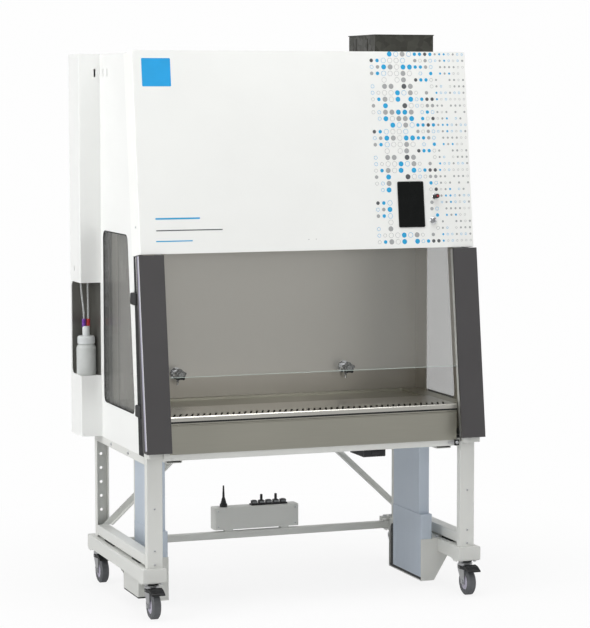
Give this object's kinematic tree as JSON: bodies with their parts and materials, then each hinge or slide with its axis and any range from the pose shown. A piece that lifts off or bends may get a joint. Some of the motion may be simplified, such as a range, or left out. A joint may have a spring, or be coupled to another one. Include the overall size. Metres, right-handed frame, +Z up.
{
  "type": "biological safety cabinet",
  "caption": "Biological safety cabinet with sloping fascia, sliding glass sash and stainless work chamber, on a lifting stand with swivel casters.",
  "frame": {"origin": "centre of the whole part's box at floor level, under the wheels", "axes": "+Z up, -Y towards the operator, +X to the operator's right"},
  "size_m": [1.405, 0.8248, 2.137],
  "materials": {
    "white_paint": "smooth",
    "grey_paint": "satin",
    "dark_paint": "satin",
    "brushed_stainless": "brushed",
    "anodised": "satin",
    "galvanised": "matte",
    "zinc": "satin",
    "chrome": "polished",
    "black_plastic": "matte",
    "grey_plastic": "matte",
    "blue_plastic": "matte",
    "clear_plastic": "glossy",
    "black_rubber": "matte",
    "tyre_grey": "matte",
    "clear_glass": "clear",
    "tinted_glass": "clear",
    "screen_glass": "glossy",
    "filter_media": "matte",
    "lamp_glass": "frosted"
  },
  "bodies": {
    "base": {"caster_beams": "grey_paint", "base_crossbar": "grey_paint", "lift_brackets": "grey_paint", "lift_housings": "anodised", "lift_feet": "black_plastic", "drive_box": "grey_paint", "control_box": "grey_paint", "control_fittings": "black_plastic", "frame_rests": "black_rubber"},
    "swivel_fl": {"caster_fork_fl": "zinc"},
    "wheel_fl": {"caster_wheel_fl": "tyre_grey"},
    "pedal_fl": {"caster_pedal_fl": "black_plastic"},
    "swivel_fr": {"caster_fork_fr": "zinc"},
    "wheel_fr": {"caster_wheel_fr": "tyre_grey"},
    "pedal_fr": {"caster_pedal_fr": "black_plastic"},
    "swivel_rl": {"caster_fork_rl": "zinc"},
    "wheel_rl": {"caster_wheel_rl": "tyre_grey"},
    "pedal_rl": {"caster_pedal_rl": "black_plastic"},
    "swivel_rr": {"caster_fork_rr": "zinc"},
    "wheel_rr": {"caster_wheel_rr": "tyre_grey"},
    "pedal_rr": {"caster_pedal_rr": "black_plastic"},
    "cabinet": {"air_diffuser": "white_paint", "blower_housing": "galvanised", "bottle": "clear_plastic", "bottle_cap": "grey_plastic", "bottle_lines": "clear_plastic", "drain_pan": "brushed_stainless", "duct": "galvanised", "filters": "filter_media", "frame_beams": "white_paint", "front_apron": "brushed_stainless", "front_grille": "brushed_stainless", "guide_clamps": "black_plastic", "guide_seals": "black_rubber", "hand_control": "black_plastic", "inner_liner": "brushed_stainless", "lamp": "lamp_glass", "lift_tubes": "anodised", "pillars": "dark_paint", "plenum_front": "galvanised", "sash_guides": "anodised", "service_column": "white_paint", "shell_cover": "white_paint", "side_frames": "white_paint", "side_panels": "white_paint", "side_windows": "tinted_glass", "tap_bodies": "chrome", "weight_rails": "galvanised", "work_tray": "brushed_stainless"},
    "sash": {"sash": "clear_glass"},
    "weights": {"counterweights": "zinc"},
    "fascia": {"fascia": "white_paint", "display": "screen_glass"},
    "key_switch": {"key_switch": "chrome"},
    "round_switch": {"round_switch": "black_plastic"},
    "impeller": {"impeller": "galvanised"},
    "tap_knob_left": {"tap_knob_left": "blue_plastic"},
    "tap_knob_right": {"tap_knob_right": "grey_plastic"},
    "hand_rocker": {"hand_rocker": "grey_plastic"}
  },
  "joints": [
    {"name": "lift", "type": "slide", "parent": "base", "child": "cabinet", "axis": [0, 0, 1], "range_m": [0, 0.2]},
    {"name": "swivel_turn_fl", "type": "hinge", "parent": "base", "child": "swivel_fl", "pos_m": [-0.5925, -0.32161, 0.12], "axis": [0, 0, 1], "continuous": true},
    {"name": "wheel_spin_fl", "type": "hinge", "parent": "swivel_fl", "child": "wheel_fl", "pos_m": [-0.5925, -0.34361, 0.05], "axis": [1, 0, 0], "continuous": true},
    {"name": "pedal_tip_fl", "type": "hinge", "parent": "swivel_fl", "child": "pedal_fl", "pos_m": [-0.5925, -0.32161, 0.104], "axis": [1, 0, 0], "range_deg": [0, 8]},
    {"name": "swivel_turn_fr", "type": "hinge", "parent": "base", "child": "swivel_fr", "pos_m": [0.6585, -0.32161, 0.12], "axis": [0, 0, 1], "continuous": true},
    {"name": "wheel_spin_fr", "type": "hinge", "parent": "swivel_fr", "child": "wheel_fr", "pos_m": [0.6585, -0.34361, 0.05], "axis": [1, 0, 0], "continuous": true},
    {"name": "pedal_tip_fr", "type": "hinge", "parent": "swivel_fr", "child": "pedal_fr", "pos_m": [0.6585, -0.32161, 0.104], "axis": [1, 0, 0], "range_deg": [0, 8]},
    {"name": "swivel_turn_rl", "type": "hinge", "parent": "base", "child": "swivel_rl", "pos_m": [-0.5925, 0.38439, 0.12], "axis": [0, 0, 1], "continuous": true},
    {"name": "wheel_spin_rl", "type": "hinge", "parent": "swivel_rl", "child": "wheel_rl", "pos_m": [-0.5925, 0.36239, 0.05], "axis": [1, 0, 0], "continuous": true},
    {"name": "pedal_tip_rl", "type": "hinge", "parent": "swivel_rl", "child": "pedal_rl", "pos_m": [-0.5925, 0.38439, 0.104], "axis": [1, 0, 0], "range_deg": [0, 8]},
    {"name": "swivel_turn_rr", "type": "hinge", "parent": "base", "child": "swivel_rr", "pos_m": [0.6585, 0.38439, 0.12], "axis": [0, 0, 1], "continuous": true},
    {"name": "wheel_spin_rr", "type": "hinge", "parent": "swivel_rr", "child": "wheel_rr", "pos_m": [0.6585, 0.36239, 0.05], "axis": [1, 0, 0], "continuous": true},
    {"name": "pedal_tip_rr", "type": "hinge", "parent": "swivel_rr", "child": "pedal_rr", "pos_m": [0.6585, 0.38439, 0.104], "axis": [1, 0, 0], "range_deg": [0, 8]},
    {"name": "sash_slide", "type": "slide", "parent": "cabinet", "child": "sash", "axis": [0, 0.1298, 0.9915], "range_m": [-0.15, 0.43]},
    {"name": "weight_slide", "type": "slide", "parent": "cabinet", "child": "weights", "axis": [0, 0, 1], "range_m": [-0.43, 0.15]},
    {"name": "fascia_lift", "type": "hinge", "parent": "cabinet", "child": "fascia", "pos_m": [0.033, -0.11346, 2.04778], "axis": [-1, 0, 0], "range_deg": [0, 60]},
    {"name": "key_turn", "type": "hinge", "parent": "fascia", "child": "key_switch", "pos_m": [0.53, -0.29778, 1.43351], "axis": [0, -0.9915, 0.1298], "range_deg": [0, 90]},
    {"name": "round_turn", "type": "hinge", "parent": "fascia", "child": "round_switch", "pos_m": [0.542, -0.28609, 1.52275], "axis": [0, -0.9915, 0.1298], "range_deg": [0, 90]},
    {"name": "impeller_spin", "type": "hinge", "parent": "cabinet", "child": "impeller", "pos_m": [-0.087, 0.04239, 1.76], "axis": [0, 1, 0], "continuous": true},
    {"name": "tap_turn_left", "type": "hinge", "parent": "cabinet", "child": "tap_knob_left", "pos_m": [-0.344, 0.13139, 0.836], "axis": [0, -1, 0], "range_deg": [0, 270]},
    {"name": "tap_turn_right", "type": "hinge", "parent": "cabinet", "child": "tap_knob_right", "pos_m": [0.349, 0.13139, 0.836], "axis": [0, -1, 0], "range_deg": [0, 270]},
    {"name": "rocker_tip", "type": "hinge", "parent": "cabinet", "child": "hand_rocker", "pos_m": [0.277, -0.33861, 0.56666], "axis": [1, 0, 0], "range_deg": [-6, 6], "stiffness_Nm_per_rad": 0.05}
  ],
  "couplings": [
    {"joint": "weight_slide", "follows": "sash_slide", "ratio": -1}
  ]
}
